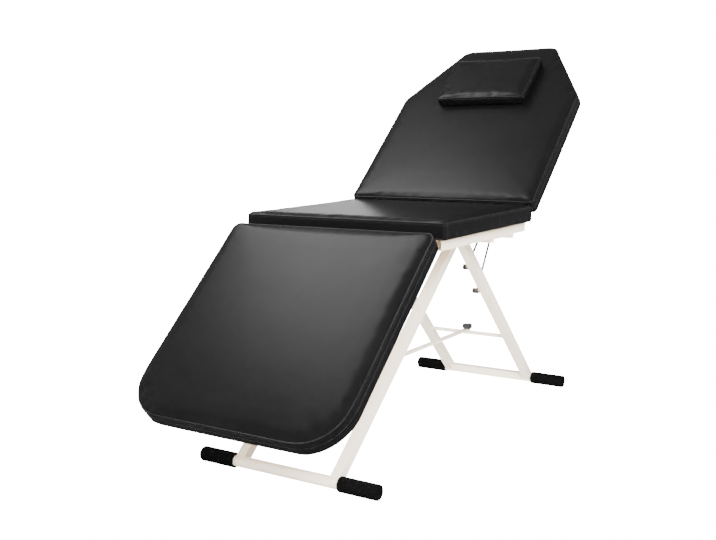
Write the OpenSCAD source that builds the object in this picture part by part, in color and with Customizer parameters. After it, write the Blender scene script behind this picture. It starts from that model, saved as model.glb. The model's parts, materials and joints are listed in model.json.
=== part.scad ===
// Folding three-section massage table on an A-shaped tube stand.
// Millimetres. X across the table, Y from the foot end to the head end, Z up.
// The origin is on the floor, below the middle of the table's overall length.

/* [Table top] */
// Width of the three pads
pad_w = 600; // [560:2:640]
// Height of the seat's upper face
seat_top = 603.4; // [590:1:625]
// Thickness of a pad, board included
pad_t = 45; // [40:1:50]
// Length of the seat pad
seat_len = 510; // [500:2:540]
// Length of the leg pad
leg_len = 588; // [540:2:620]
// Length of the back pad
back_len = 684; // [640:2:720]
// Slope of the leg rest below level
leg_angle = 42.5; // [38:0.5:45]
// Slope of the back above level
back_angle = 42; // [40:0.5:44]
// Height of the crown in the middle of a pad
crown = 7; // [3:0.5:12]

/* [Pad outlines] */
// Corner radius at the foot end of the leg pad
foot_corner_r = 112; // [60:2:130]
// Corner radius of all other pad corners
pad_corner_r = 24; // [16:1:32]
// Length of the sloped head shoulders
shoulder_len = 232; // [180:2:260]
// Width of the head end
head_w = 318; // [240:2:400]
// Radius where the shoulders meet the sides
shoulder_r = 40; // [20:2:60]

/* [Boards and tubes] */
// Thickness of the plywood boards
board_t = 9; // [6:1:12]
// Distance from a pad's edge to its board's edge
board_inset = 8; // [6:1:14]
// Outside width of the square tubes
tube_w = 25; // [22:1:26]
// Wall of the square tubes
tube_wall = 1.5; // [1:0.1:2.5]
// Distance between the outer faces of the seat rails
rail_span = 560; // [548:2:564]

/* [Stand] */
// Distance of each leg from the middle plane
leg_x = 140; // [120:2:150]
// Height of the two leg pivots
pivot_z = 515; // [512:1:515]
// Distance from the seat's front edge to the front legs' pivot
front_pivot = 341; // [330:1:343]
// Distance between the two pivots
pivot_gap = 45; // [43:1:60]
// Slope of the front legs
front_slope = 40.6; // [39:0.2:42]
// Slope of the rear legs
rear_slope = 46.5; // [45.5:0.2:47.5]
// Height of the rear crossbar
rear_bar_z = 180; // [160:2:200]
// Radius of the crossbars
bar_r = 6; // [5:0.5:6.5]
// Width of the feet over the sleeves
foot_span = 520; // [460:2:560]
// Width of the round front foot tube
front_foot_w = 28; // [24:1:30]
// Width of the square rear foot tube
rear_foot_w = 24; // [20:1:26]
// Outer radius of the foot sleeves
sleeve_r = 19; // [18:0.5:22]
// Length of a foot sleeve
sleeve_len = 105; // [80:1:106]

/* [Stay and props] */
// Width of the flat stay
stay_w = 20; // [16:1:26]
// Thickness of the flat stay
stay_t = 5; // [4:0.5:6]
// Radius of the clamping knob
knob_r = 15; // [12:0.5:18]
// Height of the clamping knob
knob_h = 14; // [10:0.5:18]
// Radius of the prop rods
rod_r = 3.25; // [3:0.25:3.5]
// Distance from the rear pivot to the upper prop's pin
upper_pin_at = 123; // [120:1:126]
// Distance from the rear pivot to the lower prop's pin
lower_pin_at = 235; // [232:1:238]

/* [Pillow] */
// Width of the head pillow
pillow_w = 300; // [240:2:320]
// Length of the head pillow along the back
pillow_len = 190; // [150:2:200]
// Height of the head pillow above the back pad's edge
pillow_t = 44; // [38:1:52]

/* [Hidden] */
$fn = 48;
// Named overrun for cuts, and the three clearances
cut = 1;
gap = 0.3;
run_gap = 0.05;
seat_gap = 0.2;

// Section hinges: their height below the seat's face and places along the seat
hinge_drop = 63.4;
hinge_z = seat_top - hinge_drop;
leg_hinge = 0;
back_hinge_past = 10;
back_hinge = seat_len + back_hinge_past;
// Distances from a hinge to the start of its pad
leg_pad_from = 2;
back_pad_from = 37;
// Heights above the hinge of a pad's faces and of the frame
top_b = hinge_drop;
under_b = hinge_drop - pad_t;
// Overall length on the floor, from the leg pad's end to the back pad's end
reach_front = (leg_pad_from + leg_len) * cos(leg_angle) + top_b * sin(leg_angle);
reach_back = back_hinge + (back_pad_from + back_len) * cos(back_angle)
  - under_b * sin(back_angle);
// Place of the seat's front edge
seat_y = (reach_front - reach_back) / 2;

// Heights of the seat frame
rail_top = seat_top - pad_t;
rail_z = rail_top - tube_w;
// Ears, bolts and nuts of the section hinges
ear_t = 5;
ear_r = 11;
bolt_r = 4;
head_t = 5;
head_r = 7;
nut_t = 5;
tube_from_hinge = 18;
ear_lap = 24;
rail_x = rail_span / 2 - tube_w;
ear_x = rail_x - ear_t;
side_gap = 1.5;
frame_ear_x = ear_x - side_gap - ear_t;
frame_x = frame_ear_x - tube_w;
rail_from = leg_hinge + tube_from_hinge;
rail_to = back_hinge - tube_from_hinge;

// Seat cross tubes
cross_front = 60;
cross_rear = 440;

// Leg carrier: a channel below the rails with two lugs for each leg pair
carrier_t = 3;
carrier_h = 12;
carrier_margin = 40;
rear_pivot = front_pivot + pivot_gap;
carrier_from = front_pivot - carrier_margin;
carrier_to = rear_pivot + carrier_margin;
lug_t = 4;
lug_gap = 1.5;
lug_in = leg_x - tube_w / 2 - lug_gap - lug_t;
lug_out = leg_x + tube_w / 2 + lug_gap + lug_t;
lug_below = 14;
lug_reach = 16;
pivot_bolt_r = 5;
pivot_head_r = 9;
pivot_head_t = 5;

// Stand: floor height of the foot tubes and lengths of the legs
sole_cut = 1;
foot_z = sleeve_r - sole_cut;
front_leg_len = (pivot_z - foot_z) / sin(front_slope);
rear_leg_len = (pivot_z - foot_z) / sin(rear_slope);
front_foot_y = front_pivot - front_leg_len * cos(front_slope);
rear_foot_y = rear_pivot + rear_leg_len * cos(rear_slope);
rear_bar_at = (pivot_z - rear_bar_z) / sin(rear_slope);
rear_bar_y = rear_pivot + rear_bar_at * cos(rear_slope);
stay_z = rear_bar_z + bar_r + gap + stay_t / 2;
front_bar_at = (pivot_z - stay_z) / sin(front_slope);
front_bar_y = front_pivot - front_bar_at * cos(front_slope);
sleeve_end_t = 3;
leg_cut = 75;

// Stay: the eye on the front crossbar, and the knob over the rear one
eye_r = 11;
stud_r = 3;
knob_lobes = 8;
knob_lobe_r = 3.2;
knob_neck_t = 2;

// Props: pins on the rear legs and the places of the top bars under the back
upper_x = 118;
lower_x = 110;
pin_r = 4;
collar_r = 6;
cap_r = 8;
cap_t = 8;
prop_eye_r = 8;
prop_eye_t = 2 * rod_r + gap;
prop_bar_b = -28;
upper_bar_a = 304.5;
lower_bar_a = 337;
notch_step = 32.5;
notch_count = 4;
notch_rise = 1.3;
rack_x = 85;
rack_t = 4;
rack_lead = 22;
rack_a0 = upper_bar_a - rack_lead;
rack_a1 = lower_bar_a + notch_step * (notch_count - 2) + rack_lead;

// Section frames: rails up to the shoulders and up to the foot corners
shoulder_margin = 14;
back_rail_to = back_pad_from + back_len - shoulder_len - shoulder_margin;
leg_rail_to = leg_pad_from + leg_len - foot_corner_r;
leg_cross_at = 190;

// Pillow: place along the back and gap over the pad's crown
pillow_to_head = 96;
pillow_r = 26;
pillow_lift = crown + gap;

function upper_pin() = [rear_pivot + upper_pin_at * cos(rear_slope),
                        pivot_z - upper_pin_at * sin(rear_slope)];
function lower_pin() = [rear_pivot + lower_pin_at * cos(rear_slope),
                        pivot_z - lower_pin_at * sin(rear_slope)];
// Point of the back section, at a along it and b above its hinge
function back_point(a, b) = [back_hinge + a * cos(back_angle) - b * sin(back_angle),
                             hinge_z + a * sin(back_angle) + b * cos(back_angle)];

// Frames of reference
module from_seat() { translate([0, seat_y, 0]) children(); }
module in_leg_rest() {
  from_seat() translate([0, leg_hinge, hinge_z]) rotate([leg_angle, 0, 0]) children();
}
module in_back() {
  from_seat() translate([0, back_hinge, hinge_z]) rotate([back_angle, 0, 0]) children();
}
module both_sides() { children(); mirror([1, 0, 0]) children(); }
module rod_x(r, x0, x1) { translate([x0, 0, 0]) rotate([0, 90, 0]) cylinder(r = r, h = x1 - x0); }

// Square tube along X or Y, open at both ends
module tube_y(len) {
  difference() {
    cube([tube_w, len, tube_w]);
    translate([tube_wall, -cut, tube_wall])
      cube([tube_w - 2 * tube_wall, len + 2 * cut, tube_w - 2 * tube_wall]);
  }
}
module tube_x(len) {
  difference() {
    cube([len, tube_w, tube_w]);
    translate([-cut, tube_wall, tube_wall])
      cube([len + 2 * cut, tube_w - 2 * tube_wall, tube_w - 2 * tube_wall]);
  }
}

// Outline with rounded corners: each corner is [x, y, radius]
corner_steps = 7;
side_steps = 3;
long_side_share = 0.125;
function turn_of(p, q, r) = let (u = q - p, v = r - q)
  atan2(u.x * v.y - u.y * v.x, u.x * v.x + u.y * v.y);
function xy(c) = [c[0], c[1]];
function round_corner(p, q, r, rad) = let (
    turn = turn_of(p, q, r),
    back = rad * tan(turn / 2),
    u = (q - p) / norm(q - p),
    start = q - u * back,
    centre = start + [-u.y, u.x] * rad,
    from = atan2(start.y - centre.y, start.x - centre.x))
  [for (i = [0 : corner_steps]) let (t = from + turn * i / corner_steps)
    centre + rad * [cos(t), sin(t)]];
function rounded(corners) = let (n = len(corners))
  [for (i = [0 : n - 1]) each round_corner(xy(corners[(i + n - 1) % n]),
    xy(corners[i]), xy(corners[(i + 1) % n]), corners[i][2])];
// Points added along the long sides, so that the crown can follow them
function filled(pts) = let (n = len(pts), long = pad_w * long_side_share)
  [for (i = [0 : n - 1]) let (p = pts[i], q = pts[(i + 1) % n],
      k = norm(q - p) > long ? side_steps : 1)
    for (j = [0 : k - 1]) p + (q - p) * j / k];

// Rings of a pad's side, from the underside up: [distance drawn in, height]
side_pull = 3;
edge_r = 11;
edge_in_shares = [0.09, 0.35];
edge_down_shares = [0.5, 0.12];
function side_rings(t) = [[side_pull, 0], [0, side_pull], [side_pull, t / 2],
  [0, t - edge_r - side_pull],
  for (i = [0 : len(edge_in_shares) - 1])
    [edge_r * edge_in_shares[i], t - edge_r * edge_down_shares[i]]];
// Rings of its crown: shares of the outline drawn in, and of the crown's height
inset_shares = [0.07, 0.20, 0.42, 0.68];
crown_shares = [0.30, 0.62, 0.84, 0.95];
function centre_of(pts) = let (n = len(pts), xs = [for (p = pts) p.x], ys = [for (p = pts) p.y])
  [(max(xs) + min(xs)) / 2, (max(ys) + min(ys)) / 2];
function half_of(pts) = let (xs = [for (p = pts) p.x], ys = [for (p = pts) p.y])
  [(max(xs) - min(xs)) / 2, (max(ys) - min(ys)) / 2];
function ring_at(pts, sx, sy, z) = let (c = centre_of(pts))
  [for (p = pts) [c.x + (p.x - c.x) * sx, c.y + (p.y - c.y) * sy, z]];
// Crowned cushion with drawn-in sides over an outline
module cushion(pts, t, rise) {
  n = len(pts);
  c = centre_of(pts);
  h = half_of(pts);
  sides = [for (r = side_rings(t)) ring_at(pts, 1 - r[0] / h.x, 1 - r[0] / h.y, r[1])];
  tops = [for (i = [0 : len(crown_shares) - 1])
    ring_at(pts, 1 - inset_shares[i], 1 - inset_shares[i], t + rise * crown_shares[i])];
  rings = concat(sides, tops);
  m = len(rings);
  points = concat([for (r = rings) each r], [[c.x, c.y, 0], [c.x, c.y, t + rise]]);
  faces = concat(
    [for (k = [0 : m - 2]) for (i = [0 : n - 1]) let (j = (i + 1) % n)
      each [[k * n + i, (k + 1) * n + i, k * n + j],
            [k * n + j, (k + 1) * n + i, (k + 1) * n + j]]],
    [for (i = [0 : n - 1]) [m * n, i, (i + 1) % n]],
    [for (i = [0 : n - 1]) [m * n + 1, (m - 1) * n + (i + 1) % n, (m - 1) * n + i]]);
  polyhedron(points, faces);
}

// Outlines of the three pads, seen from above, counter-clockwise
function box_outline(x, y0, y1, r0, r1) =
  [[-x, y0, r0], [x, y0, r0], [x, y1, r1], [-x, y1, r1]];
function seat_outline() = box_outline(pad_w / 2, 0, seat_len, pad_corner_r, pad_corner_r);
function leg_outline() = box_outline(pad_w / 2, -leg_pad_from - leg_len, -leg_pad_from,
  foot_corner_r, pad_corner_r);
function back_outline() = let (a1 = back_pad_from + back_len)
  [[-pad_w / 2, back_pad_from, pad_corner_r], [pad_w / 2, back_pad_from, pad_corner_r],
   [pad_w / 2, a1 - shoulder_len, shoulder_r], [head_w / 2, a1, shoulder_r],
   [-head_w / 2, a1, shoulder_r], [-pad_w / 2, a1 - shoulder_len, shoulder_r]];

// A board: the outline drawn in by its inset, kept exact
module board_shape(corners, grow) {
  pts = rounded(corners);
  h = half_of(pts);
  c = centre_of(pts);
  d = board_inset - grow;
  polygon([for (p = pts) [c.x + (p.x - c.x) * (1 - d / h.x), c.y + (p.y - c.y) * (1 - d / h.y)]]);
}
module pad(corners) {
  difference() {
    cushion(filled(rounded(corners)), pad_t, crown);
    translate([0, 0, -cut]) linear_extrude(board_t + cut) board_shape(corners, gap);
  }
}

// Table top
module seat_pad() { color("#171719") from_seat() translate([0, 0, rail_top]) pad(seat_outline()); }
module seat_board() {
  color("#b98d5a") from_seat() translate([0, 0, rail_top])
    linear_extrude(board_t) board_shape(seat_outline(), 0);
}
module leg_rest_pad() { color("#171719") in_leg_rest() translate([0, 0, under_b]) pad(leg_outline()); }
module leg_rest_board() {
  color("#b98d5a") in_leg_rest() translate([0, 0, under_b])
    linear_extrude(board_t) board_shape(leg_outline(), 0);
}
module back_pad() { color("#171719") in_back() translate([0, 0, under_b]) pad(back_outline()); }
module back_board() {
  color("#b98d5a") in_back() translate([0, 0, under_b])
    linear_extrude(board_t) board_shape(back_outline(), 0);
}

// Seat frame
module seat_rail() {
  color("#efe9da") from_seat() translate([rail_x, rail_from, rail_z]) tube_y(rail_to - rail_from);
}
module seat_right_rail() { seat_rail(); }
module seat_left_rail() { mirror([1, 0, 0]) seat_rail(); }
module seat_cross_tubes() {
  color("#efe9da") from_seat() for (y = [cross_front, cross_rear])
    translate([-rail_x, y, rail_z]) tube_x(2 * rail_x);
}

// Channel under the rails, and the four lugs below it that hold the legs
module lug() {
  difference() {
    translate([0, front_pivot - lug_reach, pivot_z - lug_below])
      cube([lug_t, pivot_gap + 2 * lug_reach, rail_z - carrier_t - pivot_z + lug_below]);
    for (y = [front_pivot, rear_pivot]) translate([0, y, pivot_z])
      rod_x(pivot_bolt_r + run_gap, -cut, lug_t + cut);
  }
}
module leg_carrier() {
  w = rail_span / 2;
  color("#efe9da") from_seat() difference() {
    translate([-w, carrier_from, rail_z - carrier_h])
      cube([2 * w, carrier_to - carrier_from, carrier_h]);
    translate([-w - cut, carrier_from + carrier_t, rail_z - carrier_h - cut])
      cube([2 * (w + cut), carrier_to - carrier_from - 2 * carrier_t,
            carrier_h - carrier_t + cut]);
  }
}
module leg_lugs() {
  color("#efe9da") from_seat() both_sides()
    for (x = [lug_in, lug_out - lug_t]) translate([x, 0, 0]) lug();
}
module leg_pivot_bolts() {
  color("#8f9093") from_seat() both_sides() for (y = [front_pivot, rear_pivot])
    translate([0, y, pivot_z]) {
      rod_x(pivot_bolt_r, lug_in - pivot_head_t, lug_out + pivot_head_t + cut);
      rod_x(pivot_head_r, lug_in - pivot_head_t, lug_in - seat_gap);
    }
}
module leg_pivot_nuts() {
  color("#8f9093") from_seat() both_sides() for (y = [front_pivot, rear_pivot])
    translate([0, y, pivot_z]) difference() {
      translate([lug_out + seat_gap, 0, 0]) rotate([0, 90, 0])
        cylinder(r = pivot_head_r, h = pivot_head_t, $fn = 6);
      rod_x(pivot_bolt_r + run_gap, lug_out - cut, lug_out + pivot_head_t + 2 * cut);
    }
}

// Flat hinge ear: a plate from the hinge along the tube
module ear(x) {
  translate([x, 0, 0]) rotate([90, 0, 90]) difference() {
    linear_extrude(ear_t) union() {
      circle(r = ear_r);
      translate([0, -ear_r + side_gap]) square([tube_from_hinge + ear_lap, 2 * (ear_r - side_gap)]);
    }
    translate([0, 0, -cut]) cylinder(r = bolt_r + run_gap, h = ear_t + 2 * cut);
  }
}
module seat_hinge_ears() {
  color("#efe9da") from_seat() both_sides() {
    translate([0, leg_hinge, hinge_z]) ear(ear_x);
    translate([0, back_hinge, hinge_z]) mirror([0, 1, 0]) ear(ear_x);
  }
}
module leg_rest_hinge_ears() {
  color("#efe9da") in_leg_rest() both_sides() mirror([0, 1, 0]) ear(frame_ear_x);
}
module back_hinge_ears() { color("#efe9da") in_back() both_sides() ear(frame_ear_x); }
module hinge_bolts() {
  color("#8f9093") from_seat() both_sides() for (y = [leg_hinge, back_hinge])
    translate([0, y, hinge_z]) {
      rod_x(bolt_r, frame_ear_x - head_t, rail_x + nut_t + cut);
      rod_x(head_r, frame_ear_x - head_t, frame_ear_x - seat_gap);
    }
}
module hinge_nuts() {
  color("#8f9093") from_seat() both_sides() for (y = [leg_hinge, back_hinge])
    translate([0, y, hinge_z]) difference() {
      translate([rail_x + seat_gap, 0, 0]) rotate([0, 90, 0])
        cylinder(r = head_r, h = nut_t, $fn = 6);
      rod_x(bolt_r + run_gap, rail_x - cut, rail_x + nut_t + 2 * cut);
    }
}

// Leg rest frame and back frame
frame_z = under_b - tube_w;
module leg_rest_rail() {
  color("#efe9da") in_leg_rest() translate([frame_x, -leg_rail_to, frame_z])
    tube_y(leg_rail_to - tube_from_hinge);
}
module leg_rest_right_rail() { leg_rest_rail(); }
module leg_rest_left_rail() { mirror([1, 0, 0]) leg_rest_rail(); }
module leg_rest_cross_tubes() {
  color("#efe9da") in_leg_rest() for (a = [leg_cross_at, leg_rail_to])
    translate([-frame_x, -a, frame_z]) tube_x(2 * frame_x);
}
module back_rail() {
  color("#efe9da") in_back() translate([frame_x, tube_from_hinge, frame_z])
    tube_y(back_rail_to - tube_from_hinge);
}
module back_right_rail() { back_rail(); }
module back_left_rail() { mirror([1, 0, 0]) back_rail(); }
module back_cross_tubes() {
  color("#efe9da") in_back() for (a = [rack_a0 - tube_w, rack_a1, back_rail_to - tube_w])
    translate([-frame_x, a, frame_z]) tube_x(2 * frame_x);
}
// Two notched strips that the props' top bars rest in
module prop_racks() {
  floor_b = prop_bar_b + notch_rise;
  color("#efe9da") in_back() both_sides() difference() {
    translate([rack_x, rack_a0, floor_b]) cube([rack_t, rack_a1 - rack_a0, under_b - floor_b]);
    for (i = [0 : notch_count - 1])
      translate([0, (i == 0 ? upper_bar_a : lower_bar_a + notch_step * (i - 1)), prop_bar_b])
        rod_x(rod_r + gap, rack_x - cut, rack_x + rack_t + cut);
  }
}

// A leg: square tube with a round top end and a bore for its pivot
module leg(len, slope, dir) {
  translate([0, 0, pivot_z]) rotate([dir * (90 - slope), 0, 0]) difference() {
    union() {
      translate([-tube_w / 2, -tube_w / 2, -len]) cube([tube_w, tube_w, len]);
      rod_x(tube_w / 2, -tube_w / 2, tube_w / 2);
    }
    translate([-tube_w / 2 + tube_wall, -tube_w / 2 + tube_wall, -len - cut])
      cube([tube_w - 2 * tube_wall, tube_w - 2 * tube_wall, len - tube_w + cut]);
    rod_x(pivot_bolt_r + run_gap, -tube_w, tube_w);
  }
}
module front_leg(side) {
  color("#efe9da") from_seat() translate([side * leg_x, front_pivot, 0]) difference() {
    leg(front_leg_len, front_slope, -1);
    translate([0, front_foot_y - front_pivot, foot_z])
      rod_x(front_foot_w / 2 + run_gap, -tube_w, tube_w);
  }
}
module front_right_leg() { front_leg(1); }
module front_left_leg() { front_leg(-1); }
// The rear legs lap over the front face of their square foot bar
module rear_leg(side) {
  bar_front = rear_foot_y - rear_pivot - rear_foot_w / 2 - run_gap;
  bar_top = foot_z + rear_foot_w / 2 + run_gap;
  color("#efe9da") from_seat() translate([side * leg_x, rear_pivot, 0]) difference() {
    leg(rear_leg_len, rear_slope, 1);
    translate([-tube_w, bar_front, bar_top - leg_cut]) cube([2 * tube_w, leg_cut, leg_cut]);
  }
}
module rear_right_leg() { rear_leg(1); }
module rear_left_leg() { rear_leg(-1); }
bar_half = leg_x - tube_w / 2;
module front_crossbar() {
  color("#efe9da") from_seat() translate([0, front_bar_y, stay_z]) rod_x(bar_r, -bar_half, bar_half);
}
module rear_crossbar() {
  color("#efe9da") from_seat() translate([0, rear_bar_y, rear_bar_z])
    rod_x(bar_r, -bar_half, bar_half);
}
foot_half = foot_span / 2 - sleeve_end_t - gap;
module front_foot_bar() {
  color("#efe9da") from_seat() translate([0, front_foot_y, foot_z])
    rod_x(front_foot_w / 2, -foot_half, foot_half);
}
module rear_foot_bar() {
  color("#efe9da") from_seat()
    translate([-foot_half, rear_foot_y - rear_foot_w / 2, foot_z - rear_foot_w / 2])
      cube([2 * foot_half, rear_foot_w, rear_foot_w]);
}
// Foot sleeve: round outside, closed at its outer end, with a flat sole
module sleeve_body() {
  difference() {
    rod_x(sleeve_r, foot_span / 2 - sleeve_len, foot_span / 2);
    translate([0, -2 * sleeve_r, -foot_z - 2 * sleeve_r])
      cube([foot_span, 4 * sleeve_r, 2 * sleeve_r]);
  }
}
module front_foot_sleeves() {
  color("#1b1b1c") from_seat() translate([0, front_foot_y, foot_z]) both_sides() difference() {
    sleeve_body();
    rod_x(front_foot_w / 2 + run_gap, 0, foot_half + gap);
  }
}
module rear_foot_sleeves() {
  w = rear_foot_w + 2 * run_gap;
  color("#1b1b1c") from_seat() translate([0, rear_foot_y, foot_z]) both_sides() difference() {
    sleeve_body();
    translate([0, -w / 2, -w / 2]) cube([foot_half + gap, w, w]);
  }
}

// Stay: flat bar with an eye on the front crossbar, laid over the rear one
module stay() {
  color("#efe9da") from_seat() difference() {
    union() {
      translate([0, front_bar_y, stay_z]) rod_x(eye_r, -stay_w / 2, stay_w / 2);
      translate([-stay_w / 2, front_bar_y, stay_z - stay_t / 2])
        cube([stay_w, rear_bar_y - front_bar_y, stay_t]);
      translate([0, rear_bar_y, stay_z - stay_t / 2]) cylinder(r = stay_w / 2, h = stay_t);
    }
    translate([0, front_bar_y, stay_z]) rod_x(bar_r + run_gap, -stay_w, stay_w);
    translate([0, rear_bar_y, stay_z - stay_t]) cylinder(r = stud_r + run_gap, h = 2 * stay_t);
  }
}
stay_top = stay_z + stay_t / 2;
module knob_stud() {
  color("#8f9093") from_seat() translate([0, rear_bar_y, stay_z - stay_t / 2])
    cylinder(r = stud_r, h = stay_t + knob_h / 2);
}
module knob_grip() {
  color("#1b1b1c") from_seat() translate([0, rear_bar_y, stay_top + seat_gap]) difference() {
    union() {
      cylinder(r = knob_r / 2, h = knob_neck_t);
      translate([0, 0, knob_neck_t]) difference() {
        cylinder(r = knob_r, h = knob_h - knob_neck_t);
        for (i = [0 : knob_lobes - 1]) rotate([0, 0, i * 360 / knob_lobes])
          translate([knob_r + knob_lobe_r / 2, 0, -cut]) cylinder(r = knob_lobe_r, h = knob_h + cut);
      }
    }
    translate([0, 0, -cut]) cylinder(r = stud_r + run_gap, h = knob_h / 2 + cut);
  }
}

// Pins on the rear legs' inner faces: a collar, a bare end for the prop's eye, a cap
module prop_pin(at, x) {
  translate([0, at[0], at[1]]) both_sides() {
    rod_x(pin_r, x - prop_eye_t / 2 - gap - cap_t / 2, bar_half);
    rod_x(collar_r, x + prop_eye_t / 2 + gap, bar_half);
  }
}
module prop_pin_cap(at, x) {
  end = x - prop_eye_t / 2 - gap;
  translate([0, at[0], at[1]]) both_sides() difference() {
    rod_x(cap_r, end - cap_t, end);
    rod_x(pin_r + run_gap, end - cap_t / 2, end + cut);
  }
}
module prop_pins() {
  color("#8f9093") from_seat() { prop_pin(upper_pin(), upper_x); prop_pin(lower_pin(), lower_x); }
}
module prop_pin_caps() {
  color("#1b1b1c") from_seat() {
    prop_pin_cap(upper_pin(), upper_x);
    prop_pin_cap(lower_pin(), lower_x);
  }
}
// Prop: two rods with flat eyes, joined by a round-ended top bar
module at_prop(at, top) {
  slope = atan2(top[1] - at[1], top[0] - at[0]);
  translate([0, at[0], at[1]]) rotate([slope, 0, 0]) children();
}
module prop_rods(at, top, x) {
  at_prop(at, top) both_sides() difference() {
    union() {
      rod_x(prop_eye_r, x - prop_eye_t / 2, x + prop_eye_t / 2);
      translate([x, 0, 0]) rotate([-90, 0, 0]) cylinder(r = rod_r, h = norm(top - at) - rod_r);
    }
    rod_x(pin_r + run_gap, x - prop_eye_t, x + prop_eye_t);
  }
}
module prop_bar(at, top, x) {
  at_prop(at, top) translate([0, norm(top - at), 0]) {
    rod_x(rod_r, -x, x);
    both_sides() translate([x, 0, 0]) sphere(r = rod_r);
  }
}
upper_top = back_point(upper_bar_a, prop_bar_b);
lower_top = back_point(lower_bar_a, prop_bar_b);
module upper_prop_rods() {
  color("#5c5d60") from_seat() prop_rods(upper_pin(), upper_top, upper_x);
}
module upper_prop_bar() {
  color("#5c5d60") from_seat() prop_bar(upper_pin(), upper_top, upper_x);
}
module lower_prop_rods() {
  color("#5c5d60") from_seat() prop_rods(lower_pin(), lower_top, lower_x);
}
module lower_prop_bar() {
  color("#5c5d60") from_seat() prop_bar(lower_pin(), lower_top, lower_x);
}

// Head pillow, laid on the back pad below the head end
module pillow() {
  a1 = back_pad_from + back_len - pillow_to_head;
  outline = box_outline(pillow_w / 2, a1 - pillow_len, a1, pillow_r, pillow_r);
  color("#171719") in_back() translate([0, 0, top_b + pillow_lift])
    cushion(filled(rounded(outline)), pillow_t - crown - pillow_lift, crown);
}

seat_pad();
seat_board();
seat_left_rail();
seat_right_rail();
seat_cross_tubes();
leg_carrier();
leg_lugs();
seat_hinge_ears();
hinge_bolts();
hinge_nuts();
leg_pivot_bolts();
leg_pivot_nuts();
leg_rest_pad();
leg_rest_board();
leg_rest_left_rail();
leg_rest_right_rail();
leg_rest_cross_tubes();
leg_rest_hinge_ears();
back_pad();
back_board();
back_left_rail();
back_right_rail();
back_cross_tubes();
back_hinge_ears();
prop_racks();
front_left_leg();
front_right_leg();
front_crossbar();
front_foot_bar();
front_foot_sleeves();
rear_left_leg();
rear_right_leg();
rear_crossbar();
rear_foot_bar();
rear_foot_sleeves();
prop_pins();
prop_pin_caps();
upper_prop_rods();
upper_prop_bar();
lower_prop_rods();
lower_prop_bar();
stay();
knob_stud();
knob_grip();
pillow();
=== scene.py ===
import bisect
import json
import math

import bmesh
import bpy
from mathutils import Matrix, Vector, noise
from mathutils.bvhtree import BVHTree


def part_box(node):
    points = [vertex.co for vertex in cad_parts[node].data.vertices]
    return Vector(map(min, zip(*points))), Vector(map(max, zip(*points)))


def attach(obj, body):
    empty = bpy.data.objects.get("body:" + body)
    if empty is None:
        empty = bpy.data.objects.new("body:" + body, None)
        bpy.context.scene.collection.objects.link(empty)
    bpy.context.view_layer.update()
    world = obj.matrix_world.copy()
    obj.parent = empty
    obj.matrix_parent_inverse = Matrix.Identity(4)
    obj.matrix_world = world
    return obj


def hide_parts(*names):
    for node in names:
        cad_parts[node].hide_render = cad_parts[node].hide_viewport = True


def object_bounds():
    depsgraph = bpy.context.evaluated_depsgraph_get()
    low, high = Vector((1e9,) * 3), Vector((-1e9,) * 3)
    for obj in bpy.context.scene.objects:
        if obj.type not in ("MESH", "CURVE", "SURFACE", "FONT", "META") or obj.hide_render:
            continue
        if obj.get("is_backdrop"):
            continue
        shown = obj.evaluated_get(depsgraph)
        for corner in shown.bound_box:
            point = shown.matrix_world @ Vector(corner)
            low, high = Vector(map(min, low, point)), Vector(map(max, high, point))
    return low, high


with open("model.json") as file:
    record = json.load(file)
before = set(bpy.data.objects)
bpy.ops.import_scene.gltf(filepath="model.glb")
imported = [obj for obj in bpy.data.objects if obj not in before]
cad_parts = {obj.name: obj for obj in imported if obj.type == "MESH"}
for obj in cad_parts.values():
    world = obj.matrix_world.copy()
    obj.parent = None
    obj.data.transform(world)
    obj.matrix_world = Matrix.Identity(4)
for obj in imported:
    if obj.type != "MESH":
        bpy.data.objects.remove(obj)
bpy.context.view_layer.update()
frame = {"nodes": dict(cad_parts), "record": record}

# Facts from the frame: hinges, slopes and the heights that the pads rest on
JOINTS = {j["name"]: j for j in frame["record"]["behaviour"]["joints"]}
MM = 0.001


def hinge(name):
    return Vector(JOINTS[name]["pos_m"])


def slope(name):
    return math.radians(JOINTS[name]["range_deg"][1])


SEAT_LOW, SEAT_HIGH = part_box("seat_pad")
PAD_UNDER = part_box("seat_board")[0][2]
SEAT_LENGTH = SEAT_HIGH[1] - SEAT_LOW[1]
PAD_HALF = 300 * MM
PAD_THICK = 45 * MM
LEG_HINGE = hinge("leg_rest_tilt")
BACK_HINGE = hinge("back_tilt")
PAD_ABOVE_HINGE = PAD_UNDER - LEG_HINGE.z
TO_SEAT = Matrix.Translation((0, SEAT_LOW[1], PAD_UNDER))
TO_LEG = (Matrix.Translation(LEG_HINGE) @ Matrix.Rotation(slope("leg_rest_tilt"), 4, "X")
          @ Matrix.Translation((0, 0, PAD_ABOVE_HINGE)))
TO_BACK = (Matrix.Translation(BACK_HINGE) @ Matrix.Rotation(slope("back_tilt"), 4, "X")
           @ Matrix.Translation((0, 0, PAD_ABOVE_HINGE)))


# The photograph's camera, first
IMAGE_WIDTH = 716
FOCAL_PX = 970.5
SENSOR_MM = 36
CAMERA_AZIMUTH = math.radians(33.38)
CAMERA_HEIGHT_ANGLE = math.radians(8.52)
CAMERA_ROLL = math.radians(-0.84)
CAMERA_FROM_SEAT = Vector((1.364, -1.9876, 0.8317))


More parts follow.
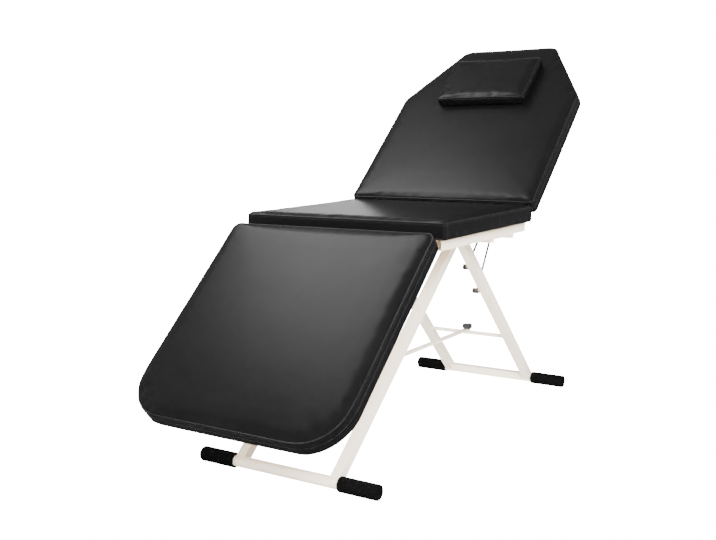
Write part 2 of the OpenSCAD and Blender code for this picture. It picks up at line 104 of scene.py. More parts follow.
def make_camera():
    ca, sa = math.cos(CAMERA_AZIMUTH), math.sin(CAMERA_AZIMUTH)
    ce, se = math.cos(CAMERA_HEIGHT_ANGLE), math.sin(CAMERA_HEIGHT_ANGLE)
    back = Vector((sa * ce, -ca * ce, se))
    right = (-back).cross(Vector((0, 0, 1))).normalized()
    up = right.cross(-back)
    cr, sr = math.cos(CAMERA_ROLL), math.sin(CAMERA_ROLL)
    right, up = cr * right + sr * up, cr * up - sr * right
    data = bpy.data.cameras.new("camera")
    data.sensor_width = SENSOR_MM
    data.lens = FOCAL_PX / IMAGE_WIDTH * SENSOR_MM
    camera = bpy.data.objects.new("camera", data)
    bpy.context.scene.collection.objects.link(camera)
    turn = Matrix((right, up, back)).transposed().to_4x4()
    place = CAMERA_FROM_SEAT + Vector((0, SEAT_LOW[1], 0))
    camera.matrix_world = Matrix.Translation(place) @ turn
    bpy.context.scene.camera = camera


make_camera()


# Finishes: a socket that takes part in Python sums, and a material built from nodes
class Channel:
    def __init__(self, finish, socket):
        self.finish, self.socket = finish, socket

    def sum(self, operation, a, b, clamp=False):
        settings = {"operation": operation, "use_clamp": clamp}
        return self.finish.node("ShaderNodeMath", settings, {0: a, 1: b})

    def __add__(self, other): return self.sum("ADD", self, other)
    def __radd__(self, other): return self.sum("ADD", other, self)
    def __mul__(self, other): return self.sum("MULTIPLY", self, other)
    def __rmul__(self, other): return self.sum("MULTIPLY", other, self)
    def clamped(self): return self.sum("ADD", self, 0.0, clamp=True)


class Finish:
    def __init__(self, name):
        self.material = bpy.data.materials.new(name)
        self.material.use_nodes = True
        self.tree = self.material.node_tree
        self.shader = self.tree.nodes["Principled BSDF"]
        self.place = self.node("ShaderNodeTexCoord", {}, {}, "Object")

    def node(self, kind, settings, inputs, output=0):
        made = self.tree.nodes.new(kind)
        for key, value in settings.items():
            setattr(made, key, value)
        for key, value in inputs.items():
            self.feed(made.inputs[key], value)
        return Channel(self, made.outputs[output])

    def feed(self, socket, value):
        if isinstance(value, Channel):
            self.tree.links.new(value.socket, socket)
        else:
            socket.default_value = value

    def set(self, **inputs):
        for key, value in inputs.items():
            self.feed(self.shader.inputs[key.replace("_", " ").title()], value)

    def noise(self, scale, detail=3.0, rough=0.5, place=None):
        return self.node("ShaderNodeTexNoise", {}, {
            "Vector": place or self.place, "Scale": scale, "Detail": detail, "Roughness": rough})

    def cells(self, scale, feature="F1"):
        return self.node("ShaderNodeTexVoronoi", {"feature": feature},
                         {"Vector": self.place, "Scale": scale}, "Distance")

    def stretched(self, scale):
        return self.node("ShaderNodeMapping", {}, {"Vector": self.place, "Scale": scale})

    def between(self, mask, low, high):
        return self.node("ShaderNodeMix", {"data_type": "RGBA"},
                         {"Factor": mask, 6: (*low, 1), 7: (*high, 1)}, 2)

    def spread(self, mask, low, high):
        return self.node("ShaderNodeMapRange", {}, {
            "Value": mask, "From Min": low, "From Max": high})

    def edges(self, low, high):
        return self.spread(self.node("ShaderNodeNewGeometry", {}, {}, "Pointiness"), low, high)

    def bump(self, height, strength, distance, under=None):
        inputs = {"Height": height, "Strength": strength, "Distance": distance}
        if under is not None:
            inputs["Normal"] = under
        return self.node("ShaderNodeBump", {}, inputs, "Normal")


def leatherette():
    f = Finish("black_leatherette")
    cloud, fine, pores = f.noise(9, 4), f.noise(260, 2), f.cells(820)
    worn = f.edges(0.51, 0.56)
    f.set(base_color=f.between((cloud * 0.7 + worn * 0.5).clamped(), (0.0016, 0.0016, 0.0018),
                               (0.0046, 0.0044, 0.0046)))
    f.set(roughness=(0.31 + cloud * 0.06 + fine * 0.05).clamped())
    creases = f.noise(11, 3, 0.5, f.stretched((1.0, 1.6, 1.0)))
    soft = f.bump(creases, 0.10, 0.0020)
    f.set(normal=f.bump(pores + fine * 0.6, 0.12, 0.0004, soft))
    f.shader.inputs["Coat Weight"].default_value = 0.05
    f.shader.inputs["Coat Roughness"].default_value = 0.20
    f.shader.inputs["Specular IOR Level"].default_value = 0.28
    return f.material


def cream_enamel():
    f = Finish("cream_enamel")
    cloud, peel = f.noise(7, 3), f.noise(520, 2)
    worn = f.edges(0.52, 0.60)
    tone = f.between(cloud, (0.87, 0.745, 0.575), (0.93, 0.815, 0.645))
    light = f.node("ShaderNodeMix", {"data_type": "RGBA"}, {"Factor": (worn * 0.4).clamped(), 6: tone,
                                                            7: (0.95, 0.87, 0.74, 1)}, 2)
    f.set(base_color=light, roughness=0.27 + cloud * 0.12)
    f.set(normal=f.bump(peel, 0.10, 0.0005))
    f.shader.inputs["Coat Weight"].default_value = 0.2
    return f.material


def plywood():
    f = Finish("plywood")
    grain = f.noise(60, 6, 0.6, f.stretched((1.0, 0.05, 1.0)))
    broad = f.noise(8, 2)
    f.set(base_color=f.between((grain * 0.8 + broad * 0.3).clamped(), (0.36, 0.23, 0.12),
                               (0.68, 0.50, 0.32)))
    f.set(roughness=0.55 + grain * 0.2, normal=f.bump(grain, 0.25, 0.0006))
    return f.material


def foam_rubber():
    f = Finish("foam_rubber")
    pores, cloud = f.cells(620), f.noise(180, 4)
    f.set(base_color=f.between((pores * 0.9 + cloud * 0.3).clamped(), (0.0008, 0.0008, 0.0009),
                               (0.0035, 0.0035, 0.0037)))
    f.shader.inputs["Specular IOR Level"].default_value = 0.06
    f.set(roughness=(0.66 + cloud * 0.25).clamped())
    f.set(normal=f.bump(pores + cloud, 0.55, 0.0007))
    return f.material


def steel(name, low, high, rough):
    f = Finish(name)
    drawn = f.noise(220, 4, 0.6, f.stretched((0.08, 1.0, 1.0)))
    spots = f.noise(35, 3)
    worn = f.edges(0.52, 0.60)
    f.set(base_color=f.between((drawn * 0.6 + worn * 0.5).clamped(), low, high))
    f.set(roughness=(rough + spots * 0.18).clamped(), normal=f.bump(drawn, 0.12, 0.0003))
    f.shader.inputs["Metallic"].default_value = 0.95
    return f.material


def moulded_plastic():
    f = Finish("moulded_plastic")
    grain, cloud = f.cells(1400), f.noise(30, 3)
    worn = f.edges(0.52, 0.60)
    f.set(base_color=f.between((cloud * 0.5 + worn * 0.6).clamped(), (0.007, 0.007, 0.008),
                               (0.030, 0.030, 0.031)))
    f.set(roughness=(0.34 + cloud * 0.14).clamped(), normal=f.bump(grain, 0.2, 0.0003))
    return f.material


def piping():
    """Leatherette drawn tight over the seams, so that it shines more."""
    f = Finish("seam_piping")
    cloud, fine = f.noise(40, 3), f.noise(300, 2)
    worn = f.edges(0.52, 0.60)
    f.set(base_color=f.between((cloud * 0.6 + worn * 0.4).clamped(), (0.003, 0.003, 0.0032),
                               (0.010, 0.010, 0.010)))
    f.set(roughness=0.24 + cloud * 0.10, normal=f.bump(fine, 0.2, 0.0003))
    f.shader.inputs["Specular IOR Level"].default_value = 0.7
    return f.material


def sewing_thread():
    f = Finish("sewing_thread")
    twist = f.noise(900, 2)
    f.set(base_color=f.between(twist, (0.012, 0.012, 0.013), (0.045, 0.045, 0.047)))
    f.set(roughness=0.5 + twist * 0.2, normal=f.bump(twist, 0.4, 0.0003))
    return f.material


FINISH = {
    "black_leatherette": leatherette(), "cream_steel": cream_enamel(), "plywood": plywood(),
    "black_foam_rubber": foam_rubber(),
    "zinc_steel": steel("zinc_steel", (0.36, 0.37, 0.39), (0.62, 0.63, 0.65), 0.26),
    "dark_steel": steel("dark_steel", (0.10, 0.10, 0.105), (0.24, 0.24, 0.25), 0.30),
    "black_plastic": moulded_plastic()}
THREAD = sewing_thread()
PIPING = piping()


def dress_cad_nodes():
    slots = {s["node"]: s["material_slot"] for s in frame["record"]["subparts"]}
    for name, node in frame["nodes"].items():
        node.data.materials.clear()
        node.data.materials.append(FINISH[slots[name]])


dress_cad_nodes()


# Mesh helpers
def new_object(name, mesh, material):
    made = bpy.data.objects.new(name, mesh)
    bpy.context.scene.collection.objects.link(made)
    made.data.materials.clear()
    made.data.materials.append(material)
    return made


def mesh_of(name, points, faces, edges=()):
    mesh = bpy.data.meshes.new(name)
    mesh.from_pydata([tuple(p) for p in points], list(edges), faces)
    mesh.update()
    return mesh


def plain_mesh(made):
    """The evaluated object as a plain mesh, with its modifiers removed."""
    bpy.context.view_layer.update()
    graph = bpy.context.evaluated_depsgraph_get()
    mesh = bpy.data.meshes.new_from_object(made.evaluated_get(graph), depsgraph=graph)
    mesh.name = made.name
    made.modifiers.clear()
    made.data = mesh
    return mesh


def shade_smooth(made, angle=None):
    for face in made.data.polygons:
        face.use_smooth = True
    if angle is not None:
        made.data.set_sharp_from_angle(angle=angle)


# Outlines with rounded corners; each corner is (x, y, radius)
CORNER_STEPS = 14
OUTLINE_STEP = 18 * MM


def rounded(corners):
    points = []
    count = len(corners)
    for i, (x, y, radius) in enumerate(corners):
        here = Vector((x, y))
        before = Vector(corners[i - 1][:2])
        after = Vector(corners[(i + 1) % count][:2])
        u, v = (here - before).normalized(), (after - here).normalized()
        turn = math.atan2(u.x * v.y - u.y * v.x, u.dot(v))
        start = here - u * radius * math.tan(turn / 2)
        centre = start + Vector((-u.y, u.x)) * radius
        first = math.atan2(start.y - centre.y, start.x - centre.x)
        for k in range(CORNER_STEPS + 1):
            t = first + turn * k / CORNER_STEPS
            points.append(centre + radius * Vector((math.cos(t), math.sin(t))))
    return points


def filled(points):
    full = []
    for i, here in enumerate(points):
        after = points[(i + 1) % len(points)]
        parts = max(1, round((after - here).length / OUTLINE_STEP))
        full += [here.lerp(after, k / parts) for k in range(parts)]
    return full


def extent(points):
    xs, ys = [p.x for p in points], [p.y for p in points]
    centre = Vector(((max(xs) + min(xs)) / 2, (max(ys) + min(ys)) / 2))
    return centre, Vector(((max(xs) - min(xs)) / 2, (max(ys) - min(ys)) / 2))


def inset(points, d):
    centre, half = extent(points)
    return [Vector((centre.x + (p.x - centre.x) * (1 - d / half.x),
                    centre.y + (p.y - centre.y) * (1 - d / half.y))) for p in points]


def block(half, y0, y1, r0, r1):
    return [(-half, y0, r0), (half, y0, r0), (half, y1, r1), (-half, y1, r1)]


CORNER_R = 22 * MM
SQUARE_R = 9 * MM
FOOT_R = 112 * MM
SHOULDER_R = 40 * MM
LEG_FROM, LEG_LENGTH = 2 * MM, 588 * MM
BACK_FROM, BACK_LENGTH = 37 * MM, 684 * MM
SHOULDER_LENGTH = 232 * MM
HEAD_HALF = 159 * MM
BACK_TO = BACK_FROM + BACK_LENGTH
SEAT_CORNERS = block(PAD_HALF, 0, SEAT_LENGTH, SQUARE_R, SQUARE_R)
LEG_CORNERS = block(PAD_HALF, -LEG_FROM - LEG_LENGTH, -LEG_FROM, FOOT_R, CORNER_R)
BACK_CORNERS = [
    (-PAD_HALF, BACK_FROM, SQUARE_R), (PAD_HALF, BACK_FROM, SQUARE_R),
    (PAD_HALF, BACK_TO - SHOULDER_LENGTH, SHOULDER_R), (HEAD_HALF, BACK_TO, SHOULDER_R),
    (-HEAD_HALF, BACK_TO, SHOULDER_R), (-PAD_HALF, BACK_TO - SHOULDER_LENGTH, SHOULDER_R)]

# Cushions: a firm foam block in a sewn cover, swollen by simulation
SLACK = 2.5 * MM
START_LOW = 3 * MM
UNDER_LIFT = 2 * MM
UNDER_R = 3 * MM
SIDE_LEAN = 0.4 * MM
EDGE_R = 4.5 * MM
VOXEL = 5.6 * MM
PRESSURE = 4.0
START_RISE_SHARE = 0.6
SIM_FRAMES = 20
RIM_STEPS = 5
CROWN_SHARES = ((0.10, 0.45), (0.25, 0.70), (0.45, 0.88), (0.70, 0.97))
CROWN_REACH = 0.8
COVER_TENSION, COVER_BENDING, CLOTH_QUALITY = 40, 25, 4
PIN_HEIGHT = UNDER_LIFT + 2 * MM


def cushion_mesh(name, corners, thick, rise):
    """Rings of the cover from the underside, round the rim, to the middle of the crown."""
    outline = inset(filled(rounded(corners)), SLACK)
    thick, rise = thick - START_LOW, rise * START_RISE_SHARE
    profile = [(UNDER_R, UNDER_LIFT), (0, UNDER_LIFT + UNDER_R), (SIDE_LEAN, thick - EDGE_R)]
    for k in range(1, RIM_STEPS + 1):
        t = math.pi / 2 * k / RIM_STEPS
        profile.append((EDGE_R * (1 - math.cos(t)), thick - EDGE_R * (1 - math.sin(t))))
    half = extent(outline)[1]
    least = min(half.x, half.y)
    for share, height in CROWN_SHARES:
        profile.append((EDGE_R + least * share * CROWN_REACH, thick + rise * height))
    points, faces, count = [], [], len(outline)
    for d, z in profile:
        points += [(p.x, p.y, z) for p in inset(outline, d)]
    for k in range(len(profile) - 1):
        for i in range(count):
            j = (i + 1) % count
            faces.append((k * count + i, k * count + j, (k + 1) * count + j, (k + 1) * count + i))
    centre = extent(outline)[0]
    low, high = len(points), len(points) + 1
    points += [(centre.x, centre.y, UNDER_LIFT), (centre.x, centre.y, thick + rise)]
    top = (len(profile) - 1) * count
    for i in range(count):
        j = (i + 1) % count
        faces += [(low, j, i), (high, top + i, top + j)]
    return mesh_of(name, points, faces)


def start_cushion(name, corners, thick, rise, voxel):
    """The foam block's mesh, with the cloth that will swell it; its underside is pinned."""
    made = new_object(name, cushion_mesh(name, corners, thick, rise), FINISH["black_leatherette"])
    remesh = made.modifiers.new("voxels", "REMESH")
    remesh.mode = "VOXEL"
    remesh.voxel_size = voxel
    plain_mesh(made)
    rest = [v.co.copy() for v in made.data.vertices]
    pins = made.vertex_groups.new(name="underside")
    pins.add([v.index for v in made.data.vertices if v.co.z < PIN_HEIGHT], 1.0, "REPLACE")
    cloth = made.modifiers.new("cover", "CLOTH").settings
    cloth.quality = CLOTH_QUALITY
    cloth.use_pressure = True
    cloth.uniform_pressure_force = PRESSURE
    cloth.effector_weights.gravity = 0
    cloth.vertex_group_mass = "underside"
    cloth.tension_stiffness = cloth.compression_stiffness = COVER_TENSION
    cloth.bending_stiffness = COVER_BENDING
    return made, rest


def swell(made, rest, cap):
    """The simulated cover, with no point moved further than the cap."""
    mesh = plain_mesh(made)
    for vertex, before in zip(mesh.vertices, rest):
        move = vertex.co - before
        if move.length > cap:
            vertex.co = before + move * (cap / move.length)
    made.vertex_groups.clear()


def fit_cover(made, outline, height):
    """The cover drawn out to its pattern's width and length, and to its height."""
    centre, half = extent(outline)
    points = [v.co for v in made.data.vertices]
    wide = (max(p.x for p in points) - min(p.x for p in points)) / 2
    long = (max(p.y for p in points) - min(p.y for p in points)) / 2
    middle = (max(p.y for p in points) + min(p.y for p in points)) / 2
    top = max(p.z for p in points)
    for p in points:
        p.x *= half.x / wide
        p.y = centre.y + (p.y - middle) * half.y / long
        p.z *= height / top


BORDER = 7 * MM
BORDER_HEIGHT = 12 * MM
WRAP_LIFT = 0.2 * MM
CORNER_JUMP = 50 * MM


def wrap_border(made, outline):
    """The cover wraps round the board's edge: its border comes down to the board's underside."""
    centre, half = extent(outline)
    inner = [Vector(((p.x - centre.x) * (1 - BORDER / half.x), (p.y - centre.y) * (1 - BORDER / half.y)))
             for p in outline]
    reach = sorted((math.atan2(q.y, q.x), q.length) for q in inner)
    angles = [a for a, r in reach]
    for vertex in made.data.vertices:
        if vertex.co.z > BORDER_HEIGHT:
            continue
        x, y = vertex.co.x - centre.x, vertex.co.y - centre.y
        i = bisect.bisect(angles, math.atan2(y, x)) % len(reach)
        (a0, r0), (a1, r1) = reach[i - 1], reach[i]
        limit = min(r0, r1) if abs(r0 - r1) > CORNER_JUMP else (r0 + r1) / 2
        if math.hypot(x, y) > limit:
            share = max(0.0, 1 - vertex.co.z / BORDER_HEIGHT)
            vertex.co.z -= (UNDER_LIFT - WRAP_LIFT) * share


CREASE_REACH = 70 * MM
FINE_FOLDS, DEEP_FOLDS, BROAD_FOLDS = 42, 30, 16
BROAD_SHARE, OPEN_SHARE = 0.45, 0.10


def crease(made, outline, thick, depth):
    """Shallow folds of the cover that run in from the corners and the edges."""
    centre, half = extent(outline)
    for vertex in made.data.vertices:
        x, y, z = vertex.co
        to_edge = min(half.x - abs(x - centre.x), half.y - abs(y - centre.y))
        near = max(0.0, 1 - abs(to_edge) / CREASE_REACH) ** 2
        at_top = min(1.0, max(0.0, (z - UNDER_LIFT) / thick))
        wave = noise.noise(Vector((x * FINE_FOLDS, y * FINE_FOLDS, z * DEEP_FOLDS)))
        ridge = noise.noise(Vector((x * BROAD_FOLDS, y * BROAD_FOLDS, 5.0)))
        vertex.co.z += depth * at_top * (near * wave + BROAD_SHARE * ridge * near + OPEN_SHARE * wave)


def press_seam(made, height, depth, reach):
    """The cover dips along its seam, at one height round its sides."""
    for vertex in made.data.vertices:
        if abs(vertex.co.z - height) < reach * 2.5 and abs(vertex.normal.z) < 0.8:
            distance = vertex.co.z - height
            away = Vector((vertex.normal.x, vertex.normal.y, 0))
            vertex.co -= away * depth * math.exp(-(distance / reach) ** 2)


RAY_START = 50 * MM
SMOOTH_ROUNDS = 2


def seam_path(made, outline, height, out):
    """Points round the cushion at a height, laid on its cover."""
    tree = BVHTree.FromObject(made, bpy.context.evaluated_depsgraph_get())
    centre = extent(outline)[0]
    path = []
    for p in outline:
        away = Vector((p.x - centre.x, p.y - centre.y, 0)).normalized()
        start = Vector((p.x, p.y, height)) + away * RAY_START
        found = tree.ray_cast(start, -away)[0]
        path.append((found if found else Vector((p.x, p.y, height))) + away * out)
    return path


def smooth_path(path):
    for _ in range(SMOOTH_ROUNDS):
        path = [(path[i - 1] + path[i] * 2 + path[(i + 1) % len(path)]) / 4 for i in range(len(path))]
    return path


# Geometry Nodes: a welt swept along a seam, and stitches laid along it
def tree_with(name, *inputs):
    group = bpy.data.node_groups.new(name, "GeometryNodeTree")
    sockets = {}
    group.interface.new_socket("Geometry", in_out="INPUT", socket_type="NodeSocketGeometry")
    for label, kind in inputs:
        sockets[label] = group.interface.new_socket(
            label, in_out="INPUT", socket_type="NodeSocket" + kind).identifier
    group.interface.new_socket("Geometry", in_out="OUTPUT", socket_type="NodeSocketGeometry")
    start = group.nodes.new("NodeGroupInput")
    end = group.nodes.new("NodeGroupOutput")
    return group, sockets, start, end


def geo(group, kind, links, **settings):
    made = group.nodes.new(kind)
    for key, value in settings.items():
        setattr(made, key, value)
    for key, source in links.items():
        if isinstance(source, bpy.types.NodeSocket):
            group.links.new(source, made.inputs[key])
        else:
            made.inputs[key].default_value = source
    return made


def close_tree(group, end, geometry, material):
    real = geo(group, "GeometryNodeRealizeInstances", {"Geometry": geometry})
    dressed = geo(group, "GeometryNodeSetMaterial", {"Geometry": real.outputs[0], "Material": material})
    group.links.new(dressed.outputs[0], end.inputs[0])


def welt_tree():
    group, sockets, start, end = tree_with("welt", ("Radius", "Float"), ("Sides", "Int"),
                                           ("Material", "Material"))
    line = geo(group, "GeometryNodeMeshToCurve", {"Mesh": start.outputs[0]})
    ring = geo(group, "GeometryNodeCurvePrimitiveCircle",
               {"Resolution": start.outputs["Sides"], "Radius": start.outputs["Radius"]})
    tube = geo(group, "GeometryNodeCurveToMesh",
               {"Curve": line.outputs[0], "Profile Curve": ring.outputs[0], "Fill Caps": True})
    close_tree(group, end, tube.outputs[0], start.outputs["Material"])
    return group, sockets


def stitch_tree():
    group, sockets, start, end = tree_with("stitches", ("Pitch", "Float"), ("Length", "Float"),
                                           ("Thread", "Float"), ("Material", "Material"))
    line = geo(group, "GeometryNodeMeshToCurve", {"Mesh": start.outputs[0]})
    spaced = geo(group, "GeometryNodeResampleCurve",
                 {"Curve": line.outputs[0], "Length": start.outputs["Pitch"]}, mode="LENGTH")
    capsule = geo(group, "GeometryNodeMeshUVSphere", {"Segments": 6, "Rings": 4, "Radius": 1.0})
    size = geo(group, "ShaderNodeCombineXYZ", {"X": start.outputs["Thread"], "Y": start.outputs["Thread"],
                                               "Z": start.outputs["Length"]})
    tangent = geo(group, "GeometryNodeInputTangent", {})
    turned = geo(group, "FunctionNodeAlignEulerToVector", {"Vector": tangent.outputs[0]}, axis="Z")
    laid = geo(group, "GeometryNodeInstanceOnPoints",
               {"Points": spaced.outputs[0], "Instance": capsule.outputs[0],
                "Rotation": turned.outputs[0], "Scale": size.outputs[0]})
    close_tree(group, end, laid.outputs[0], start.outputs["Material"])
    return group, sockets


WELT, WELT_IN = welt_tree()
STITCH, STITCH_IN = stitch_tree()


def grown(name, path, tree, sockets, values, closed=True):
    """A line of points turned into a plain mesh by one of the trees."""
    count = len(path)
    edges = [(i, (i + 1) % count) for i in range(count if closed else count - 1)]
    made = new_object(name, mesh_of(name, path, [], edges), values["Material"])
    grow = made.modifiers.new("grow", "NODES")
    grow.node_group = tree
    for label, value in values.items():
        grow[sockets[label]] = value
    plain_mesh(made)
    made.data.materials.clear()
    made.data.materials.append(values["Material"])
    shade_smooth(made)
    return made


WELT_R = 1.5 * MM
WELT_OUT = 0.2 * MM
WELT_SIDES = 10
UPRIGHT_R = WELT_R * 0.7
UPRIGHT_SIDES = 8
STITCH_PITCH = 5.5 * MM
STITCH_HALF = 1.7 * MM
THREAD_R = 0.42 * MM
STITCH_OFFSET = 4.2 * MM
SEAM_DIP = 1.0 * MM
SEAM_REACH = 3.0 * MM
UPRIGHT_STEPS = 12
EDGE_SEAM = 3.0 * MM
SIDE_SEAM = 20 * MM


def place_in(made, place):
    made.data.transform(place)
    made.data.update()


class Pad:
    """One upholstered pad: its cover, the welts of its seams and the stitches beside them."""

    def __init__(self, name, node, body, corners, thick, rise, place, cap, voxel=VOXEL, creases=0.5 * MM,
                 seams=(EDGE_SEAM, SIDE_SEAM), uprights=()):
        self.name, self.node, self.body, self.place = name, node, body, place
        self.corners, self.thick, self.cap, self.creases = corners, thick, cap, creases
        self.height, self.seams, self.uprights = thick + rise, seams, uprights
        self.cover, self.rest = start_cushion(name, corners, thick, rise, voxel)

    def finish_cover(self):
        swell(self.cover, self.rest, self.cap)
        outline = filled(rounded(self.corners))
        smooth = self.cover.modifiers.new("smooth", "SUBSURF")
        smooth.levels = smooth.render_levels = 1
        plain_mesh(self.cover)
        fit_cover(self.cover, outline, self.height)
        crease(self.cover, outline, self.thick, self.creases)
        wrap_border(self.cover, outline)
        for drop in self.seams:
            if drop > EDGE_SEAM:
                press_seam(self.cover, self.thick - drop, SEAM_DIP, SEAM_REACH)
        self.cover.data.update()
        shade_smooth(self.cover)
        pieces = [self.cover]
        for number, drop in enumerate(self.seams):
            path = smooth_path(seam_path(self.cover, outline, self.thick - drop, WELT_OUT))
            pieces.append(grown(f"{self.name}_welt_{number}", path, WELT, WELT_IN,
                                {"Radius": WELT_R, "Sides": WELT_SIDES, "Material": PIPING}))
            below = smooth_path(seam_path(self.cover, outline, self.thick - drop - STITCH_OFFSET, 0))
            pieces.append(grown(f"{self.name}_stitches_{number}", below, STITCH, STITCH_IN,
                                {"Pitch": STITCH_PITCH, "Length": STITCH_HALF, "Thread": THREAD_R,
                                 "Material": THREAD}))
        for number, (x, y) in enumerate(self.uprights):
            pieces.append(grown(f"{self.name}_upright_{number}", self.upright(x, y), WELT, WELT_IN,
                                {"Radius": UPRIGHT_R, "Sides": UPRIGHT_SIDES, "Material": PIPING},
                                closed=False))
        for piece in pieces:
            place_in(piece, self.place)
            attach(piece, self.body)
        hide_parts(self.node)

    def upright(self, x, y):
        """An upright seam on the cover's side, from the edge seam down to the border."""
        tree = BVHTree.FromObject(self.cover, bpy.context.evaluated_depsgraph_get())
        inward = Vector((-math.copysign(1, x), 0, 0))
        path = []
        for k in range(UPRIGHT_STEPS + 1):
            z = WRAP_LIFT + WELT_R + (self.thick - EDGE_SEAM - WELT_R) * k / UPRIGHT_STEPS
            found = tree.ray_cast(Vector((x, y, z)) - inward * RAY_START, inward)[0]
            path.append(found or Vector((x, y, z)))
        return path


PILLOW_HALF = 150 * MM
PILLOW_R = 10 * MM
PILLOW_RISE = 3 * MM
PILLOW_VOXEL = 4.5 * MM


def pillow_sizes():
    """The pillow's length, thickness and place along the back, from its CAD box."""
    node = frame["nodes"]["pillow"]
    back = TO_BACK.inverted()
    points = [back @ (node.matrix_world @ v.co) for v in node.data.vertices]
    ys, zs = [p.y for p in points], [p.z for p in points]
    return min(ys), max(ys), min(zs), max(zs)


PILLOW_Y0, PILLOW_Y1, PILLOW_Z0, PILLOW_Z1 = pillow_sizes()
PILLOW_CORNERS = block(PILLOW_HALF, PILLOW_Y0, PILLOW_Y1, PILLOW_R, PILLOW_R)
TO_PILLOW = TO_BACK @ Matrix.Translation((0, 0, PILLOW_Z0 - WRAP_LIFT))
PAD_RISE = 7 * MM
SIDE_SEAM_AT = 300 * MM
SWELL_CAP = 3 * MM
PADS = [
    Pad("seat_cushion", "seat_pad", "seat_frame", SEAT_CORNERS, PAD_THICK, PAD_RISE, TO_SEAT, SWELL_CAP,
        creases=1.3 * MM, seams=(EDGE_SEAM,),
        uprights=[(side * PAD_HALF, y) for side in (-1, 1)
                  for y in (SQUARE_R, SIDE_SEAM_AT, SEAT_LENGTH - SQUARE_R)]),
    Pad("leg_cushion", "leg_rest_pad", "leg_rest", LEG_CORNERS, PAD_THICK, PAD_RISE, TO_LEG, SWELL_CAP,
        creases=0.4 * MM),
    Pad("back_cushion", "back_pad", "back_rest", BACK_CORNERS, PAD_THICK, PAD_RISE, TO_BACK,
        SWELL_CAP),
    Pad("head_pillow", "pillow", "pillow", PILLOW_CORNERS, PILLOW_Z1 - PILLOW_Z0 - PILLOW_RISE,
        PILLOW_RISE, TO_PILLOW, SWELL_CAP, voxel=PILLOW_VOXEL,
        creases=1.0 * MM, seams=(EDGE_SEAM,))]
for number in range(1, SIM_FRAMES + 1):
    bpy.context.scene.frame_set(number)
for pad in PADS:
    pad.finish_cover()
bpy.context.scene.frame_set(1)


# Foot sleeves: ribbed foam rubber, rounded at both ends, flat on the floor
RIB_PITCH = 5.2 * MM
RIB_DEPTH = 0.55 * MM
SLEEVE_SIDES = 72
RIB_STEPS = 6
SLEEVE_EDGE = 2.5 * MM
SLEEVE_LENGTH = 105 * MM
END_SHARE = 0.86
SHARP_ANGLE = math.radians(60)
FIRST_ROW = 0.2


def sleeve_profile(length, radius):
    """Rows of (place along the sleeve, radius), ribbed, with rounded ends."""
    steps = round(length / RIB_PITCH) * RIB_STEPS
    rows = [(0.0, radius * END_SHARE)]
    for k in range(steps + 1):
        x = SLEEVE_EDGE * FIRST_ROW + (length - SLEEVE_EDGE * FIRST_ROW * 2) * k / steps
        to_end = min(x, length - x)
        soften = math.sqrt(max(0.0, 1 - (1 - min(1.0, to_end / SLEEVE_EDGE)) ** 2))
        rib = 0.5 - 0.5 * math.cos(2 * math.pi * k / RIB_STEPS)
        rows.append((x, (radius - SLEEVE_EDGE) + SLEEVE_EDGE * soften - RIB_DEPTH * rib))
    rows.append((length, radius * END_SHARE))
    return rows


def foot_sleeve(name, node, body, side):
    low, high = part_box(node)
    y, z = (low[1] + high[1]) / 2, high[2] - (high[1] - low[1]) / 2
    radius = (high[1] - low[1]) / 2
    inner = high[0] - SLEEVE_LENGTH
    points, faces = [], []
    rows = sleeve_profile(SLEEVE_LENGTH, radius)
    for x, r in rows:
        for i in range(SLEEVE_SIDES):
            t = 2 * math.pi * i / SLEEVE_SIDES
            points.append((inner + x, y + r * math.cos(t), max(0.0, z + r * math.sin(t))))
    for k in range(len(rows) - 1):
        for i in range(SLEEVE_SIDES):
            j = (i + 1) % SLEEVE_SIDES
            faces.append((k * SLEEVE_SIDES + i, (k + 1) * SLEEVE_SIDES + i,
                          (k + 1) * SLEEVE_SIDES + j, k * SLEEVE_SIDES + j))
    faces.append(tuple(range(SLEEVE_SIDES)))
    last = (len(rows) - 1) * SLEEVE_SIDES
    faces.append(tuple(last + i for i in reversed(range(SLEEVE_SIDES))))
    if side < 0:
        points = [(-x, y_, z_) for x, y_, z_ in points]
    mesh = mesh_of(name, points, faces)
    shape = bmesh.new()
    shape.from_mesh(mesh)
    bmesh.ops.recalc_face_normals(shape, faces=shape.faces)
    shape.to_mesh(mesh)
    shape.free()
    made = new_object(name, mesh, FINISH["black_foam_rubber"])
    shade_smooth(made, SHARP_ANGLE)
    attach(made, body)
    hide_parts(node)


for foot, legs in (("front", "front_legs"), ("rear", "rear_legs")):
    for word, side in (("right", 1), ("left", -1)):
        foot_sleeve(f"{foot}_{word}_sleeve", f"{foot}_foot_sleeves", legs, side)


# Weld beads where bars meet the legs, swept by the welt's tree
BEAD_R = 1.3 * MM
BEAD_STEPS = 40
BEAD_WAVES, BEAD_WAVE = 9, 0.02
BEAD_PROUD = BEAD_R * 0.3


def weld_ring(name, body, centre, radius):
    path = []
    for i in range(BEAD_STEPS):
        t = 2 * math.pi * i / BEAD_STEPS
        wobble = 1 + BEAD_WAVE * math.sin(BEAD_WAVES * t)
        path.append(centre + Vector((0, math.cos(t), math.sin(t))) * radius * wobble)
    bead = grown(name, path, WELT, WELT_IN,
                 {"Radius": BEAD_R, "Sides": 8, "Material": FINISH["cream_steel"]})
    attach(bead, body)


for foot, legs in (("front", "front_legs"), ("rear", "rear_legs")):
    low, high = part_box(foot + "_crossbar")
    for word, x in (("left", low[0] + BEAD_R), ("right", high[0] - BEAD_R)):
        middle = Vector((x, (low[1] + high[1]) / 2, (low[2] + high[2]) / 2))
        weld_ring(f"{foot}_{word}_crossbar_weld", legs, middle, (high[2] - low[2]) / 2 + BEAD_PROUD)


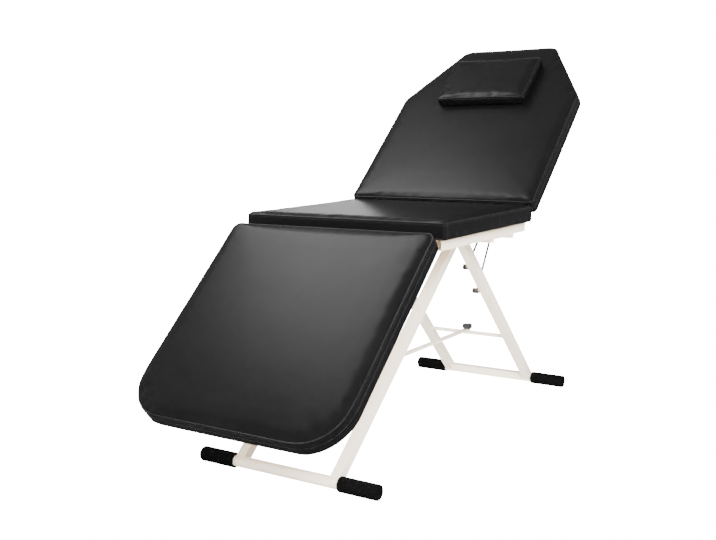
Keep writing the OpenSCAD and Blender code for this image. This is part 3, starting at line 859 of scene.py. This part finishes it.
# Studio: a pale floor and surround, two softboxes that the gloss mirrors, and three that only light
FLOOR_HALF = 30
FLOOR_GLOW, FLOOR_GLOW_SHARE = 30.0, 0.8
MIRRORED_FLOOR = 0.20
WORLD_LIGHT, WORLD_SEEN = 0.28, 24.0


def make_floor():
    corners = [(x * FLOOR_HALF, y * FLOOR_HALF, 0) for x, y in ((-1, -1), (1, -1), (1, 1), (-1, 1))]
    floor = new_object("floor", mesh_of("floor", corners, [(0, 1, 2, 3)]), floor_paint())
    floor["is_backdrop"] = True


def floor_paint():
    """Pale paint that the camera sees nearly white and that the gloss of the pads hardly mirrors."""
    f = Finish("studio_floor")
    f.set(base_color=f.between(f.noise(3, 2), (0.84, 0.84, 0.84), (0.88, 0.88, 0.88)), roughness=0.9)
    glow = f.node("ShaderNodeEmission", {}, {"Color": (1, 1, 1, 1), "Strength": FLOOR_GLOW})
    seen = f.node("ShaderNodeLightPath", {}, {}, "Is Camera Ray")
    paint = Channel(f, f.shader.outputs[0])
    both = f.node("ShaderNodeMixShader", {}, {0: seen * FLOOR_GLOW_SHARE, 1: paint, 2: glow})
    mirrored = f.node("ShaderNodeLightPath", {}, {}, "Is Glossy Ray")
    dim = f.node("ShaderNodeEmission", {}, {"Color": (1, 1, 1, 1), "Strength": MIRRORED_FLOOR})
    whole = f.node("ShaderNodeMixShader", {}, {0: mirrored, 1: both, 2: dim})
    f.feed(f.tree.nodes["Material Output"].inputs["Surface"], whole)
    return f.material


def softbox(name, place, target, width, height, watts, gloss=False):
    """An area light that the camera never sees, and that gloss mirrors only where asked."""
    data = bpy.data.lights.new(name, "AREA")
    data.shape = "RECTANGLE"
    data.size, data.size_y = width, height
    data.energy = watts
    lamp = bpy.data.objects.new(name, data)
    bpy.context.scene.collection.objects.link(lamp)
    lamp.location = place
    lamp.visible_camera = False
    lamp.visible_glossy = gloss
    lamp.rotation_euler = (Vector(target) - Vector(place)).to_track_quat("-Z", "Y").to_euler()


def studio_world():
    """A surround that is white to the camera and dim to everything else."""
    world = bpy.data.worlds.new("studio")
    world.use_nodes = True
    bpy.context.scene.world = world
    nodes, links = world.node_tree.nodes, world.node_tree.links
    back = nodes["Background"]
    back.inputs["Color"].default_value = (1, 1, 1, 1)
    seen = nodes.new("ShaderNodeLightPath")
    strength = nodes.new("ShaderNodeMapRange")
    links.new(seen.outputs["Is Camera Ray"], strength.inputs["Value"])
    strength.inputs["To Min"].default_value = WORLD_LIGHT
    strength.inputs["To Max"].default_value = WORLD_SEEN
    links.new(strength.outputs[0], back.inputs["Strength"])


make_floor()
studio_world()
softbox("overhead_softbox", (-1.5, -0.35, 2.9), (0, -0.2, 0.5), 1.4, 1.1, 30, gloss=True)
softbox("seat_glow", (-2.3, 3.3, 1.35), (0, 0, 0.6), 1.2, 0.5, 9, gloss=True)
softbox("right_key", (2.6, -2.6, 2.3), (0, 0, 0.4), 2.2, 2.2, 840)
softbox("left_fill", (-3.0, -2.2, 0.9), (0, 0, 0.4), 1.6, 1.2, 160)
softbox("rear_fill", (-1.6, 3.4, 1.6), (0, 0, 0.4), 1.8, 1.6, 220)

low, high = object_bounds()
